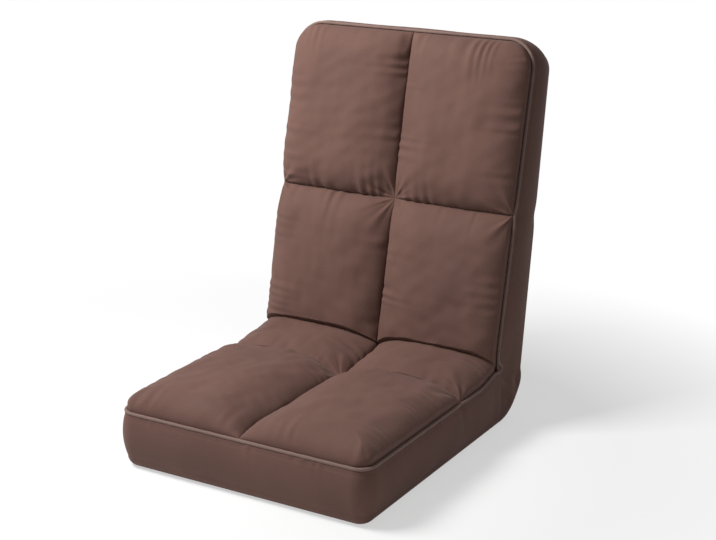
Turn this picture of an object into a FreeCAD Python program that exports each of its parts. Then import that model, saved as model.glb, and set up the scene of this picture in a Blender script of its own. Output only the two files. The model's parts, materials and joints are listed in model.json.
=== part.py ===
import FreeCAD, Part
import math
import os

# A floor chair of two cushion halves joined by ratchet hinges. X runs across the chair, the seat
# points to -Y, Z is up, and the origin is on the floor at the centre of the seat's flat underside.
# Each half is drawn lying flat, with Y = 0 at the hinge axis: it runs along +Y with its outer face
# on Z = 0. The seat half is then mirrored to -Y, the back half is turned up about the hinge axis,
# and the whole chair moves along Y so that the origin comes under the seat.

V = FreeCAD.Vector
X_AXIS = V(1, 0, 0)
Y_AXIS = V(0, 1, 0)
Z_AXIS = V(0, 0, 1)

# Cushion halves
HALF_WIDTH = 252.0        # mid-plane to the outer face of the gusset
SEAT_DEPTH = 490.0        # hinge axis to the front gusset
BACK_LENGTH = 616.0       # hinge axis to the top gusset
HINGE_HEIGHT = 107.0      # hinge axis above each half's outer face
BACK_LEAN = 9.0           # degrees between the rear panel and upright at rest
SEAT_RIM = 104.0          # height of the seat's piping line
SEAT_RIM_RISE = 17.0      # extra height of that line where it meets the back
SEAT_RISE_LENGTH = 76.0   # length over which it rises
BACK_RIM_LOW = 127.0      # the back's piping line at the hinge axis
BACK_RIM_HIGH = 83.5      # the back's piping line at the top
SEAT_CREASE = 155.0       # hinge axis to the channel between the seat's two rows of pads
BACK_CREASE = 298.0       # hinge axis to the channel between the back's two rows of pads
SEAT_CORNER = 28.0        # plan radius of the front corners
BACK_CORNER = 54.0        # plan radius of the top corners
EDGE_ROUND = 20.0         # radius of the outer lower edges

# Cloth, foam and their clearances
SKIN = 2.5                # quilted cloth with its backing
SOFT_GAP = 0.3            # between neighbouring soft pieces
CORE_GAP = 0.8            # between the cloth and the foam inside it
PIPING_RADIUS = 3.0
PIPING_DROP = 3.2         # from the piping line down to the gusset's edge
CORE_DROP = 4.0           # from the piping line down to the foam core
PAD_DROP = 3.7            # from the piping line down to the underside of the pads
PAD_CROWN = 46.0          # rise of a pad above the piping line
PAD_ROLL = 60.0           # length over which a pad rolls down at its ends
PAD_SIDE_ROLL = 38.0      # width over which a pad rolls down at its sides
PAD_END_SHARE = 0.14      # share of the crown left at a pad's end
PAD_FOLD_SHARE = 0.75     # share of the crown where the pads press together in the fold
SHOULDER_SHARE = 0.8      # height of a pad's shoulders as a share of its crown
PAD_START = 16.2          # hinge axis to the pads that meet in the fold
HALF_GAP = 0.5            # hinge axis to the end face of each half
CORE_RAY = 12.0           # degrees, slope of the back core's end so that it clears the seat
HEEL_RADIUS = 85.0        # rounding of the outer corner at rest
HEEL_FOAM = 12.0          # thickness of the filler under the heel wrap
BRIDGE_RADIUS = 50.0      # reach of the bridging cloth around the hinge axis

# Frame
RAIL_RADIUS = 9.5
RAIL_WALL = 1.2
RAIL_HEIGHT = 45.0        # tube centre above each half's outer face
RAIL_END = 14.0           # hinge axis to the open tube ends
RAIL_BEND = 45.0
RAIL_MARGIN = 45.0        # tube centre to the far gusset
CROSS_RADIUS = 8.0
SEAT_CROSS_TUBES = (80.0, 245.0)
BACK_CROSS_TUBES = (80.0, 300.0)
SEAT_STRAPS = (137.0, 195.0, 297.0, 355.0)
BACK_STRAPS = (145.0, 215.0, 380.0, 455.0)
STRAP_WIDTH = 45.0
STRAP_THICKNESS = 1.5
STRAP_SLACK = 0.2         # strap loop to tube
PLUG_HEAD = 2.0
PLUG_DEPTH = 14.0
PLUG_CLEARANCE = 0.1

# Hinge: a toothed plate on the back turns between two cheeks on the seat
HINGE_INNER_FACE = 202.5  # mid-plane to the inner cheek
CHEEK_THICKNESS = 2.0
TOOTHED_THICKNESS = 4.0
PLATE_GAP = 0.4
CHEEK_DISC = 17.0
ARM_HALF_WIDTH = 10.0
TOOTH_ROOT = 16.5
TOOTH_TIP = 19.5
TOOTH_PITCH = 13.5        # degrees
TOOTH_FOOT = 9.1          # degrees of a tooth's foot
TOOTH_FLAT = 3.0          # degrees of flat on a tooth's tip
PIVOT_RADIUS = 5.0
PIVOT_HEAD = 9.0
PIVOT_HEAD_THICKNESS = 2.0
RUNNING_GAP = 0.05        # pin to bore, on the radius
PAWL_RADIUS = 33.0        # hinge axis to the pawl pin
PAWL_ANGLE = 195.0        # degrees from +Y, seen along -X, of the pawl pin
TIP_ANGLE = 235.0         # degrees, of the pawl's tip in a tooth gap
PAWL_LIFT = 10.0          # degrees that the pawl is held clear of the teeth
PAWL_THICKNESS = 3.4
PAWL_EYE = 6.5
PAWL_PIN_RADIUS = 3.0
PIN_HEAD = 4.6
PIN_HEAD_THICKNESS = 1.2
BOLT_RADIUS = 3.0
BOLT_HEAD = 5.0
BOLT_HEAD_THICKNESS = 3.4
NUT_THICKNESS = 4.0
SEAT_BOLTS = (62.0, 98.0) # hinge axis to the bolts along the rail
BACK_BOLTS = (62.0, 98.0)
BOLT_MARGIN = 4.0         # hinge plate elbow and end beyond the bolts
SPACER_CLEARANCE = 3.5    # spacer rivet's centre above the top of the rail
SPACER_RADIUS = 3.0
SPACER_SHOULDER = 4.2
SPRING_LEAF = 0.6
SPRING_WIDTH = 2.8
POCKET_IN = 199.0         # foam pocket around each hinge, from the mid-plane
POCKET_OUT = 217.0
POCKET_LENGTH = 126.0
POCKET_RADIUS = 21.5

TUCK_CENTRE = (-1.0, 14.0) # centre of the piping's turn in the fold, from the hinge axis
TUCK_TURN = 7.0           # radius of that turn
TUCK_GROOVE = 0.2         # clearance of the piping in the bridging cloth

FAR = 900.0
FLOOR_CENTRE = (SEAT_DEPTH - EDGE_ROUND + HALF_GAP) / 2.0
FOLD_HALF = (90.0 + BACK_LEAN) / 2.0
AXIS_POINT = V(0, 0, HINGE_HEIGHT)
CHEEK_INNER = (HINGE_INNER_FACE, HINGE_INNER_FACE + CHEEK_THICKNESS)
TOOTHED = (CHEEK_INNER[1] + PLATE_GAP, CHEEK_INNER[1] + PLATE_GAP + TOOTHED_THICKNESS)
CHEEK_OUTER = (TOOTHED[1] + PLATE_GAP, TOOTHED[1] + PLATE_GAP + CHEEK_THICKNESS)
TOOTHED_MIDDLE = (TOOTHED[0] + TOOTHED[1]) / 2.0
SEAT_RAIL_X = CHEEK_INNER[0] - RAIL_RADIUS
BACK_RAIL_X = TOOTHED[0] - RAIL_RADIUS


ELBOW = SEAT_BOLTS[0] - BOLT_MARGIN
SPACER_Z = RAIL_HEIGHT + RAIL_RADIUS + SPACER_CLEARANCE
SPACER_Y = ELBOW * (HINGE_HEIGHT - SPACER_Z) / (HINGE_HEIGHT - RAIL_HEIGHT)


class Half:
    """Sizes of one cushion half, drawn flat along +Y."""

    def __init__(self, length, rim_low, rim_high, rise, corner, rail_x):
        self.length = length
        self.rim_low = rim_low
        self.rim_high = rim_high
        self.rise = rise
        self.corner = corner
        self.rail_x = rail_x

    def rim(self, y):
        """Height of the piping line, without the rise at the fold."""
        return self.rim_low + (self.rim_high - self.rim_low) * y / self.length

    def full_rim(self, y):
        """Height of the piping line with its rise at the fold."""
        run = SEAT_RISE_LENGTH + PAD_START - y
        if not self.rise or run <= 0:
            return self.rim(y)
        run = min(run, SEAT_RISE_LENGTH)
        radius = (SEAT_RISE_LENGTH ** 2 + self.rise ** 2) / (2 * self.rise)
        return self.rim(y) + radius - math.sqrt(radius ** 2 - run ** 2)


SEAT = Half(SEAT_DEPTH, SEAT_RIM, SEAT_RIM, SEAT_RIM_RISE, SEAT_CORNER, SEAT_RAIL_X)
BACK = Half(BACK_LENGTH, BACK_RIM_LOW, BACK_RIM_HIGH, 0.0, BACK_CORNER, BACK_RAIL_X)


def place(half, shape):
    """Move a shape drawn flat to its place at rest."""
    if half is SEAT:
        return shape.mirror(V(0, 0, 0), Y_AXIS)
    turned = shape.copy()
    turned.rotate(AXIS_POINT, X_AXIS, 90.0 - BACK_LEAN)
    return turned


def other_side(shape):
    return shape.mirror(V(0, 0, 0), X_AXIS)


def box(x0, x1, y0, y1, z0, z1):
    return Part.makeBox(x1 - x0, y1 - y0, z1 - z0, V(x0, y0, z0))


def prism(points, x0, x1):
    """A polygon of (y, z) points drawn out along X."""
    outline = [V(x0, y, z) for y, z in points]
    outline.append(outline[0])
    return Part.Face(Part.makePolygon(outline)).extrude(V(x1 - x0, 0, 0))


def rod(x0, x1, y, z, radius):
    return Part.makeCylinder(radius, x1 - x0, V(x0, y, z), X_AXIS)


def ray(angle, reach):
    """A point at an angle and distance from the hinge axis, as (y, z)."""
    turn = math.radians(angle)
    return reach * math.cos(turn), HINGE_HEIGHT + reach * math.sin(turn)


# Cushion bodies

def plan_face(half, inset, height):
    """The half's plan, with rounded corners at its far end."""
    wide = HALF_WIDTH - inset
    far = half.length - inset
    corner = half.corner - inset
    dip = corner * (1 - math.sqrt(0.5))
    edges = [
        Part.makeLine(V(-wide, 0, height), V(wide, 0, height)),
        Part.makeLine(V(wide, 0, height), V(wide, far - corner, height)),
        Part.Arc(V(wide, far - corner, height), V(wide - dip, far - dip, height),
                 V(wide - corner, far, height)).toShape(),
        Part.makeLine(V(wide - corner, far, height), V(corner - wide, far, height)),
        Part.Arc(V(corner - wide, far, height), V(dip - wide, far - dip, height),
                 V(-wide, far - corner, height)).toShape(),
        Part.makeLine(V(-wide, far - corner, height), V(-wide, 0, height)),
    ]
    return Part.Face(Part.Wire(edges))


def block(half, inset):
    """The half as one block with rounded lower edges, inset on all outer faces."""
    height = max(half.rim_low, half.rim_high) + SEAT_RIM_RISE + PAD_CROWN
    solid = plan_face(half, inset, inset).extrude(V(0, 0, height))
    lower = [
        edge for edge in solid.Edges
        if edge.BoundBox.ZMax < inset + 0.1 and edge.BoundBox.YMax > 1.0
    ]
    return solid.makeFillet(EDGE_ROUND - inset, lower)


def above_rim(half, offset, rising):
    """Everything above the piping line moved by an offset."""
    first = V(-FAR, -100, half.rim(0) + offset)
    far = V(-FAR, FAR, half.rim(FAR) + offset)
    top = [V(-FAR, FAR, FAR), V(-FAR, -100, FAR)]
    if rising and half.rise:
        start = SEAT_RISE_LENGTH + PAD_START
        middle = start - SEAT_RISE_LENGTH / 2.0
        low = V(-FAR, start, half.rim(start) + offset)
        high = V(-FAR, PAD_START, half.full_rim(PAD_START) + offset)
        rise = Part.Arc(high, V(-FAR, middle, half.full_rim(middle) + offset), low).toShape()
        first = V(-FAR, -100, high.z)
        edges = [Part.makeLine(first, high), rise, Part.makeLine(low, far)]
    else:
        far_y = half.length * 2
        first = V(-FAR, -100, half.rim(-100) + offset)
        far = V(-FAR, far_y, half.rim(far_y) + offset)
        top = [V(-FAR, far_y, FAR), V(-FAR, -100, FAR)]
        edges = [Part.makeLine(first, far)]
    edges += [
        Part.makeLine(far, top[0]),
        Part.makeLine(top[0], top[1]),
        Part.makeLine(top[1], first),
    ]
    return Part.Face(Part.Wire(edges)).extrude(V(2 * FAR, 0, 0))


def beyond_fold():
    """The space past a half's end face and past the plane that halves the fold."""
    reach_y, reach_z = ray(FOLD_HALF, FAR)
    return prism(
        [(-200, -50), (HALF_GAP, -50), (HALF_GAP, HINGE_HEIGHT), (HALF_GAP + reach_y, reach_z), (-200, reach_z)],
        -FAR, FAR)


def hinge_pockets():
    """Clear space around both hinges."""
    pocket = box(POCKET_IN, POCKET_OUT, -POCKET_RADIUS, POCKET_LENGTH, RAIL_HEIGHT - 14.0, HINGE_HEIGHT + 2.0)
    pocket = pocket.fuse(rod(POCKET_IN, POCKET_OUT, 0, HINGE_HEIGHT, POCKET_RADIUS)).removeSplitter()
    return pocket.fuse(other_side(pocket))


def strap_levels():
    """Underside and top of the straps."""
    low = RAIL_HEIGHT - RAIL_RADIUS - STRAP_SLACK - STRAP_THICKNESS
    high = RAIL_HEIGHT + RAIL_RADIUS + STRAP_SLACK + STRAP_THICKNESS
    return low, high


def lower_sheet(half):
    low, _ = strap_levels()
    inset = SKIN + CORE_GAP
    sheet = block(half, inset).common(box(-FAR, FAR, HALF_GAP, FAR, 0, low - SOFT_GAP))
    return sheet.cut(hinge_pockets())


def edge_border(half):
    """The foam border that surrounds the frame."""
    low, high = strap_levels()
    border = block(half, SKIN + CORE_GAP).common(box(-FAR, FAR, HALF_GAP, FAR, low, high))
    inner = half.rail_x + RAIL_RADIUS + STRAP_SLACK + STRAP_THICKNESS + SOFT_GAP
    far = half.length - RAIL_MARGIN + RAIL_RADIUS + SOFT_GAP
    border = border.cut(box(-inner, inner, -1, far, 0, FAR))
    return border.cut(hinge_pockets())


def upper_core(half):
    """The thick foam over the straps, sloped at the fold."""
    _, high = strap_levels()
    core = block(half, SKIN + CORE_GAP).common(box(-FAR, FAR, HALF_GAP, FAR, high + SOFT_GAP, FAR))
    core = core.cut(above_rim(half, -CORE_DROP, False))
    ray_y, ray_z = ray(CORE_RAY, FAR)
    core = core.cut(prism([(0, HINGE_HEIGHT), (ray_y, ray_z), (ray_y, FAR), (0, FAR)], -FAR, FAR))
    return core.cut(hinge_pockets())


def shell(half):
    """The cloth skin of a half up to its piping, open at the fold."""
    inner = block(half, SKIN).fuse(box(SKIN - HALF_WIDTH, HALF_WIDTH - SKIN, -5, 5, SKIN + EDGE_ROUND, FAR))
    skin = block(half, 0.0).cut(inner)
    skin = skin.cut(above_rim(half, -PIPING_DROP, True))
    return skin.cut(beyond_fold())


def outer_panel(half):
    """The flat outer panel: the seat's underside or the back's rear."""
    lower = plan_face(half, EDGE_ROUND, 0).extrude(V(0, 0, SKIN))
    return lower.cut(box(-FAR, FAR, -5, HALF_GAP, -5, FAR))


def gusset(half):
    """The band around a half, clear of the outer panel and of the bridging cloth."""
    panel = plan_face(half, EDGE_ROUND - SOFT_GAP / 2, -1).extrude(V(0, 0, SKIN + 2.0))
    inner = plan_face(half, EDGE_ROUND + 1.0, -1).extrude(V(0, 0, FAR))
    band = shell(half).cut(panel).cut(inner)
    return band.cut(rod(-FAR, FAR, 0, HINGE_HEIGHT, BRIDGE_RADIUS + SOFT_GAP))


def piping(half):
    """The corded edge around a half, from one side of the fold to the other."""
    start = BRIDGE_RADIUS + SOFT_GAP
    far = half.length - PIPING_RADIUS / 2
    corner = half.corner - PIPING_RADIUS / 2
    dip = corner * (1 - math.sqrt(0.5))
    wide = HALF_WIDTH

    def at(x, y):
        return V(x, y, half.rim(y))

    edges = []
    straight = start
    if half.rise:
        straight = SEAT_RISE_LENGTH + PAD_START
        middle = (start + straight) / 2
        edges.append(Part.Arc(V(wide, start, half.full_rim(start)), V(wide, middle, half.full_rim(middle)),
                              at(wide, straight)).toShape())
    edges += [
        Part.makeLine(at(wide, straight), at(wide, far - corner)),
        Part.Arc(at(wide, far - corner), at(wide - dip, far - dip), at(wide - corner, far)).toShape(),
        Part.makeLine(at(wide - corner, far), at(corner - wide, far)),
        Part.Arc(at(corner - wide, far), at(dip - wide, far - dip), at(-wide, far - corner)).toShape(),
        Part.makeLine(at(-wide, far - corner), at(-wide, straight)),
    ]
    if half.rise:
        edges.append(Part.Arc(at(-wide, straight), V(-wide, middle, half.full_rim(middle)),
                              V(-wide, start, half.full_rim(start))).toShape())
    return sweep_round(edges, PIPING_RADIUS)


def sweep_round(edges, radius):
    """A round section swept along joined edges."""
    path = Part.Wire(Part.__sortEdges__(edges))
    first = path.OrderedEdges[0]
    start = first.valueAt(first.FirstParameter)
    along = first.tangentAt(first.FirstParameter)
    if first.Orientation == "Reversed":
        start = first.valueAt(first.LastParameter)
        along = first.tangentAt(first.LastParameter)
    section = Part.Wire(Part.makeCircle(radius, start, along))
    return path.makePipeShell([section], True, False)


# Pads

def pad_section(half, x0, x1, y, rise):
    """One closed rib of a pad: flat below, rolled at both sides, crowned on top."""
    base = half.rim(y) - PAD_DROP
    rim = half.full_rim(y)
    roll = PAD_SIDE_ROLL * (0.35 + 0.65 * min(1.0, rise / PAD_CROWN))
    shoulder = rim + SHOULDER_SHARE * rise
    half_way = rim + SHOULDER_SHARE * rise * math.sqrt(0.5)
    lift = math.sqrt(0.5)
    left = [V(x0, y, rim), V(x0 + roll * (1 - lift), y, half_way), V(x0 + roll, y, shoulder)]
    right = [V(x1 - roll, y, shoulder), V(x1 - roll * (1 - lift), y, half_way), V(x1, y, rim)]
    edges = [
        Part.makeLine(V(x1, y, base), V(x0, y, base)),
        Part.makeLine(V(x0, y, base), left[0]),
        Part.Arc(*left).toShape(),
        Part.Arc(left[2], V((x0 + x1) / 2, y, rim + rise), right[0]).toShape(),
        Part.Arc(*right).toShape(),
        Part.makeLine(right[2], V(x1, y, base)),
    ]
    return Part.Wire(edges)


def end_rise(depth, share):
    """Share of the crown at a depth from a pad's end, in a quarter-round from the end's share."""
    depth = min(1.0, depth)
    return share + (1 - share) * math.sqrt(1 - (1 - depth) ** 2)


def pad(half, x0, x1, y0, y1, near_share):
    """A stuffed pad between two channels, as a smooth loft through its ribs."""
    length = y1 - y0
    roll = min(PAD_ROLL, length / 2.5)
    steps = (0.0, 0.07, 0.25, 0.6, 1.0)
    places = [y0 + roll * step for step in steps]
    places += [(y0 + y1) / 2]
    places += [y1 - roll * step for step in reversed(steps)]
    ribs = []
    for y in places:
        near = end_rise((y - y0) / roll, near_share)
        far = end_rise((y1 - y) / roll, PAD_END_SHARE)
        ribs.append(pad_section(half, x0, x1, y, PAD_CROWN * min(near, far)))
    return Part.makeLoft(ribs, True, False, False, 3)


def pads(half, crease):
    """The four pads of a half: two beside the fold, then two at the far end."""
    outer = HALF_WIDTH - PIPING_RADIUS - SOFT_GAP
    gap = SOFT_GAP / 2
    far = half.length - PIPING_RADIUS - SOFT_GAP - PIPING_RADIUS / 2
    made = []
    rows = ((PAD_START, crease - gap, PAD_FOLD_SHARE), (crease + gap, far, PAD_END_SHARE))
    for y0, y1, near_share in rows:
        for x0, x1 in ((-outer, -gap), (gap, outer)):
            made.append(pad(half, x0, x1, y0, y1, near_share))
    return made


def near_pad(solid):
    """A pad beside the fold, cut back to the fold's middle plane and around the hinge."""
    return solid.cut(beyond_fold()).cut(hinge_pockets())


def far_pad(half, solid):
    """A pad at the far end, with its outer corner rounded like the piping."""
    inset = PIPING_RADIUS + SOFT_GAP
    wide = HALF_WIDTH - inset
    corner = half.corner - inset
    far = half.length - inset - PIPING_RADIUS / 2
    dip = corner * (1 - math.sqrt(0.5))
    edges = [
        Part.makeLine(V(-wide - 5, 0, 0), V(wide + 5, 0, 0)),
        Part.makeLine(V(wide + 5, 0, 0), V(wide + 5, far - corner - 5, 0)),
        Part.makeLine(V(wide + 5, far - corner - 5, 0), V(wide, far - corner, 0)),
        Part.Arc(V(wide, far - corner, 0), V(wide - dip, far - dip, 0), V(wide - corner, far, 0)).toShape(),
        Part.makeLine(V(wide - corner, far, 0), V(corner - wide, far, 0)),
        Part.Arc(V(corner - wide, far, 0), V(dip - wide, far - dip, 0), V(-wide, far - corner, 0)).toShape(),
        Part.makeLine(V(-wide, far - corner, 0), V(-wide - 5, far - corner - 5, 0)),
        Part.makeLine(V(-wide - 5, far - corner - 5, 0), V(-wide - 5, 0, 0)),
    ]
    return solid.common(Part.Face(Part.Wire(edges)).extrude(V(0, 0, FAR)))


# Heel and bridging cloth, drawn in the place they have at rest

def heel_profile(inset):
    """Face in the YZ plane between the two halves' end faces, inset from the outside."""
    lean = math.radians(BACK_LEAN)
    reach = HINGE_HEIGHT - inset
    upper = V(0, reach * math.cos(lean), HINGE_HEIGHT - reach * math.sin(lean))
    along = V(0, math.sin(lean), math.cos(lean))
    corner_y = upper.y - (upper.z - inset) * math.tan(lean)
    corner = V(0, corner_y, inset)
    radius = HEEL_RADIUS - inset
    run = radius / math.tan(math.radians(FOLD_HALF))
    first = corner - Y_AXIS * run
    last = corner + along * run
    centre = first + Z_AXIS * radius
    middle = centre + (corner - centre).normalize() * radius
    axis = V(0, 0, HINGE_HEIGHT)
    start = V(0, 0, inset)
    edges = [
        Part.makeLine(axis, start),
        Part.makeLine(start, first),
        Part.Arc(first, middle, last).toShape(),
        Part.makeLine(last, upper),
        Part.makeLine(upper, axis),
    ]
    return Part.Face(Part.Wire(edges))


def heel_block(inset):
    """The wedge between the halves, with its outer edges rounded at both sides."""
    wide = HALF_WIDTH - inset
    face = heel_profile(inset)
    face.translate(V(-wide, 0, 0))
    solid = face.extrude(V(2 * wide, 0, 0))
    lean = math.radians(BACK_LEAN)
    rounded = []
    for edge in solid.Edges:
        middle = edge.valueAt((edge.FirstParameter + edge.LastParameter) / 2)
        ends_apart = edge.BoundBox.XLength < 0.1
        below = middle.z < HINGE_HEIGHT - 1 and middle.y > 1.0
        on_end_face = abs((middle.z - HINGE_HEIGHT) * math.cos(lean) + middle.y * math.sin(lean)) < 0.5
        if ends_apart and below and not on_end_face:
            rounded.append(edge)
    return solid.makeFillet(EDGE_ROUND - inset, rounded)


def trim_heel(shape):
    """Keeps a heel piece clear of both halves' end faces."""
    seat_side = box(-FAR, FAR, -FAR, SOFT_GAP, -FAR, HINGE_HEIGHT)
    lean = math.radians(BACK_LEAN)
    slab = box(-FAR, FAR, -FAR, FAR, 0, FAR)
    slab.rotate(V(0, 0, 0), X_AXIS, -BACK_LEAN)
    slab.translate(V(0, -SOFT_GAP * math.sin(lean), HINGE_HEIGHT - SOFT_GAP * math.cos(lean)))
    return shape.cut(seat_side).cut(slab)


def heel_wrap():
    """The rounded cover of the outer corner."""
    inner_wide = HALF_WIDTH - EDGE_ROUND
    skin = heel_block(0.0).cut(heel_block(SKIN))
    skin = skin.common(box(-inner_wide, inner_wide, -FAR, FAR, -FAR, FAR))
    return trim_heel(skin)


def heel_foam():
    """The soft filler under the heel wrap."""
    inset = SKIN + CORE_GAP
    hollow = heel_profile(inset + HEEL_FOAM)
    hollow.translate(V(-FAR, 0, 0))
    filler = heel_block(inset).cut(hollow.extrude(V(2 * FAR, 0, 0)))
    return trim_heel(filler)


def on_back(y, z):
    """A point of the flat back half in the place it has at rest, as (y, z)."""
    lean = math.radians(90.0 - BACK_LEAN)
    rise = z - HINGE_HEIGHT
    return (y * math.cos(lean) - rise * math.sin(lean),
            HINGE_HEIGHT + y * math.sin(lean) + rise * math.cos(lean))


def tuck_points():
    """The piping's way from the seat, round its turn in the fold and up the back."""
    reach = BRIDGE_RADIUS
    y, z = TUCK_CENTRE[0], HINGE_HEIGHT + TUCK_CENTRE[1]
    return [
        (-reach, SEAT.full_rim(reach)),
        (y - 3 * TUCK_TURN, z - TUCK_TURN + 1.0),
        (y, z - TUCK_TURN),
        (y + TUCK_TURN, z),
        (y, z + TUCK_TURN),
        (y - TUCK_TURN - 1.0, z + 2.5 * TUCK_TURN),
        on_back(reach, BACK.rim(reach)),
    ]


def tuck_cord(radius):
    """A round cord through the tuck points, in line with the piping at both ends."""
    points = tuck_points()
    curve = Part.BSplineCurve()
    near_seat = (points[0][0] - 1.0, SEAT.full_rim(BRIDGE_RADIUS + 1.0))
    near_back = on_back(BRIDGE_RADIUS + 1.0, BACK.rim(BRIDGE_RADIUS + 1.0))
    leave = V(0, points[0][0] - near_seat[0], points[0][1] - near_seat[1])
    arrive = V(0, near_back[0] - points[-1][0], near_back[1] - points[-1][1])
    curve.interpolate(Points=[V(HALF_WIDTH, y, z) for y, z in points], InitialTangent=leave, FinalTangent=arrive)
    return sweep_round([curve.toShape()], radius)


def side_bridge():
    """The side cloth that spans the fold at +X: a disc at the hinge and the wedge below it."""
    inner_wide = HALF_WIDTH - EDGE_ROUND + SOFT_GAP
    skin = heel_block(0.0).cut(heel_block(SKIN))
    wedge = trim_heel(skin.common(box(inner_wide, FAR, -FAR, FAR, -FAR, FAR)))
    disc = rod(HALF_WIDTH - SKIN, HALF_WIDTH, 0, HINGE_HEIGHT, BRIDGE_RADIUS)
    points = tuck_points()
    up_y, up_z = ray(180.0 - FOLD_HALF, FAR)
    mouth = [(y, z) for y, z in points]
    mouth += [(points[-1][0], up_z), (up_y, up_z), (up_y, points[0][1])]
    disc = disc.cut(prism(mouth, 0, FAR))
    disc = disc.cut(tuck_cord(PIPING_RADIUS + TUCK_GROOVE))
    seat_over = above_rim(SEAT, -PIPING_DROP, True).mirror(V(0, 0, 0), Y_AXIS)
    back_over = place(BACK, above_rim(BACK, -PIPING_DROP, False))
    disc = disc.cut(seat_over.common(box(0, FAR, -FAR, -PAD_START, -FAR, FAR)))
    disc = disc.cut(back_over.common(box(0, FAR, -FAR, FAR, points[5][1], FAR)))
    return max(wedge.fuse(disc).removeSplitter().Solids, key=lambda solid: solid.Volume)


def piping_tuck():
    """The corded edge that runs down into the fold at +X and up again."""
    return tuck_cord(PIPING_RADIUS)


# Frame

def frame_tube(half, bolt_places):
    """One bent tube: two rails and the far bow."""
    rail = half.rail_x
    far = half.length - RAIL_MARGIN
    dip = RAIL_BEND * (1 - math.sqrt(0.5))
    high = RAIL_HEIGHT
    edges = [
        Part.makeLine(V(rail, RAIL_END, high), V(rail, far - RAIL_BEND, high)),
        Part.Arc(V(rail, far - RAIL_BEND, high), V(rail - dip, far - dip, high),
                 V(rail - RAIL_BEND, far, high)).toShape(),
        Part.makeLine(V(rail - RAIL_BEND, far, high), V(RAIL_BEND - rail, far, high)),
        Part.Arc(V(RAIL_BEND - rail, far, high), V(dip - rail, far - dip, high),
                 V(-rail, far - RAIL_BEND, high)).toShape(),
        Part.makeLine(V(-rail, far - RAIL_BEND, high), V(-rail, RAIL_END, high)),
    ]
    outer = sweep_round(edges, RAIL_RADIUS)
    tube = outer.cut(sweep_round(edges, RAIL_RADIUS - RAIL_WALL))
    for side in (-1, 1):
        for y in bolt_places:
            start = side * rail - RAIL_RADIUS
            tube = tube.cut(rod(start, start + 2 * RAIL_RADIUS, y, high, BOLT_RADIUS + RUNNING_GAP))
    return tube


def cross_tube(half, y):
    """A straight tube between the rails, its ends shaped to them."""
    rail = half.rail_x
    tube = rod(-rail, rail, y, RAIL_HEIGHT, CROSS_RADIUS)
    tube = tube.cut(rod(-rail, rail, y, RAIL_HEIGHT, CROSS_RADIUS - RAIL_WALL))
    for side in (-1, 1):
        start = V(side * rail, y - 30, RAIL_HEIGHT)
        tube = tube.cut(Part.makeCylinder(RAIL_RADIUS, 60, start, Y_AXIS))
    return tube


def strap(half, y):
    """An elastic strap looped around both rails."""
    inner = RAIL_RADIUS + STRAP_SLACK
    outer = inner + STRAP_THICKNESS
    y0 = y - STRAP_WIDTH / 2
    band = box(-half.rail_x, half.rail_x, y0, y0 + STRAP_WIDTH, RAIL_HEIGHT + inner, RAIL_HEIGHT + outer)
    hollow = []
    for side in (-1, 1):
        start = V(side * half.rail_x, y0, RAIL_HEIGHT)
        band = band.fuse(Part.makeCylinder(outer, STRAP_WIDTH, start, Y_AXIS))
        hollow.append(Part.makeCylinder(inner, STRAP_WIDTH, start, Y_AXIS))
    return band.cut(Part.makeCompound(hollow)).removeSplitter()


def tube_plugs(half):
    """Plastic plugs in the two open tube ends."""
    plugs = []
    for side in (-1, 1):
        x = side * half.rail_x
        stem = Part.makeCylinder(RAIL_RADIUS - RAIL_WALL - PLUG_CLEARANCE, PLUG_DEPTH, V(x, RAIL_END, RAIL_HEIGHT), Y_AXIS)
        head = Part.makeCylinder(RAIL_RADIUS, PLUG_HEAD, V(x, RAIL_END - PLUG_HEAD, RAIL_HEIGHT), Y_AXIS)
        plugs.append(stem.fuse(head).removeSplitter())
    return Part.makeCompound(plugs)


# Hinge at +X, drawn in the flat half it belongs to

def stadium(x0, x1, start, end, half_width):
    """A plate with round ends between two (y, z) points."""
    run = V(0, end[0] - start[0], end[1] - start[1])
    side = V(0, -run.z, run.y).normalize() * half_width
    p0, p1 = V(x0, *start), V(x0, *end)
    corners = [p0 + side, p1 + side, p1 - side, p0 - side, p0 + side]
    plate = Part.Face(Part.makePolygon(corners)).extrude(V(x1 - x0, 0, 0))
    plate = plate.fuse(rod(x0, x1, start[0], start[1], half_width))
    return plate.fuse(rod(x0, x1, end[0], end[1], half_width))


def hinge_arm(x0, x1, bolts):
    """The plate that reaches from the hinge axis to the rail and along it."""
    elbow = (bolts[0] - BOLT_MARGIN, RAIL_HEIGHT)
    arm = stadium(x0, x1, (0, HINGE_HEIGHT), elbow, ARM_HALF_WIDTH)
    return arm.fuse(stadium(x0, x1, elbow, (bolts[1] + BOLT_MARGIN, RAIL_HEIGHT), ARM_HALF_WIDTH - 1.0))


def bolt_holes(plate, x0, x1, bolts):
    for y in bolts:
        plate = plate.cut(rod(x0 - 1, x1 + 1, y, RAIL_HEIGHT, BOLT_RADIUS + RUNNING_GAP))
    return plate


def pawl_pin_at():
    """The pawl pin in the seat half drawn flat."""
    return ray(180.0 - PAWL_ANGLE, PAWL_RADIUS)


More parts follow.
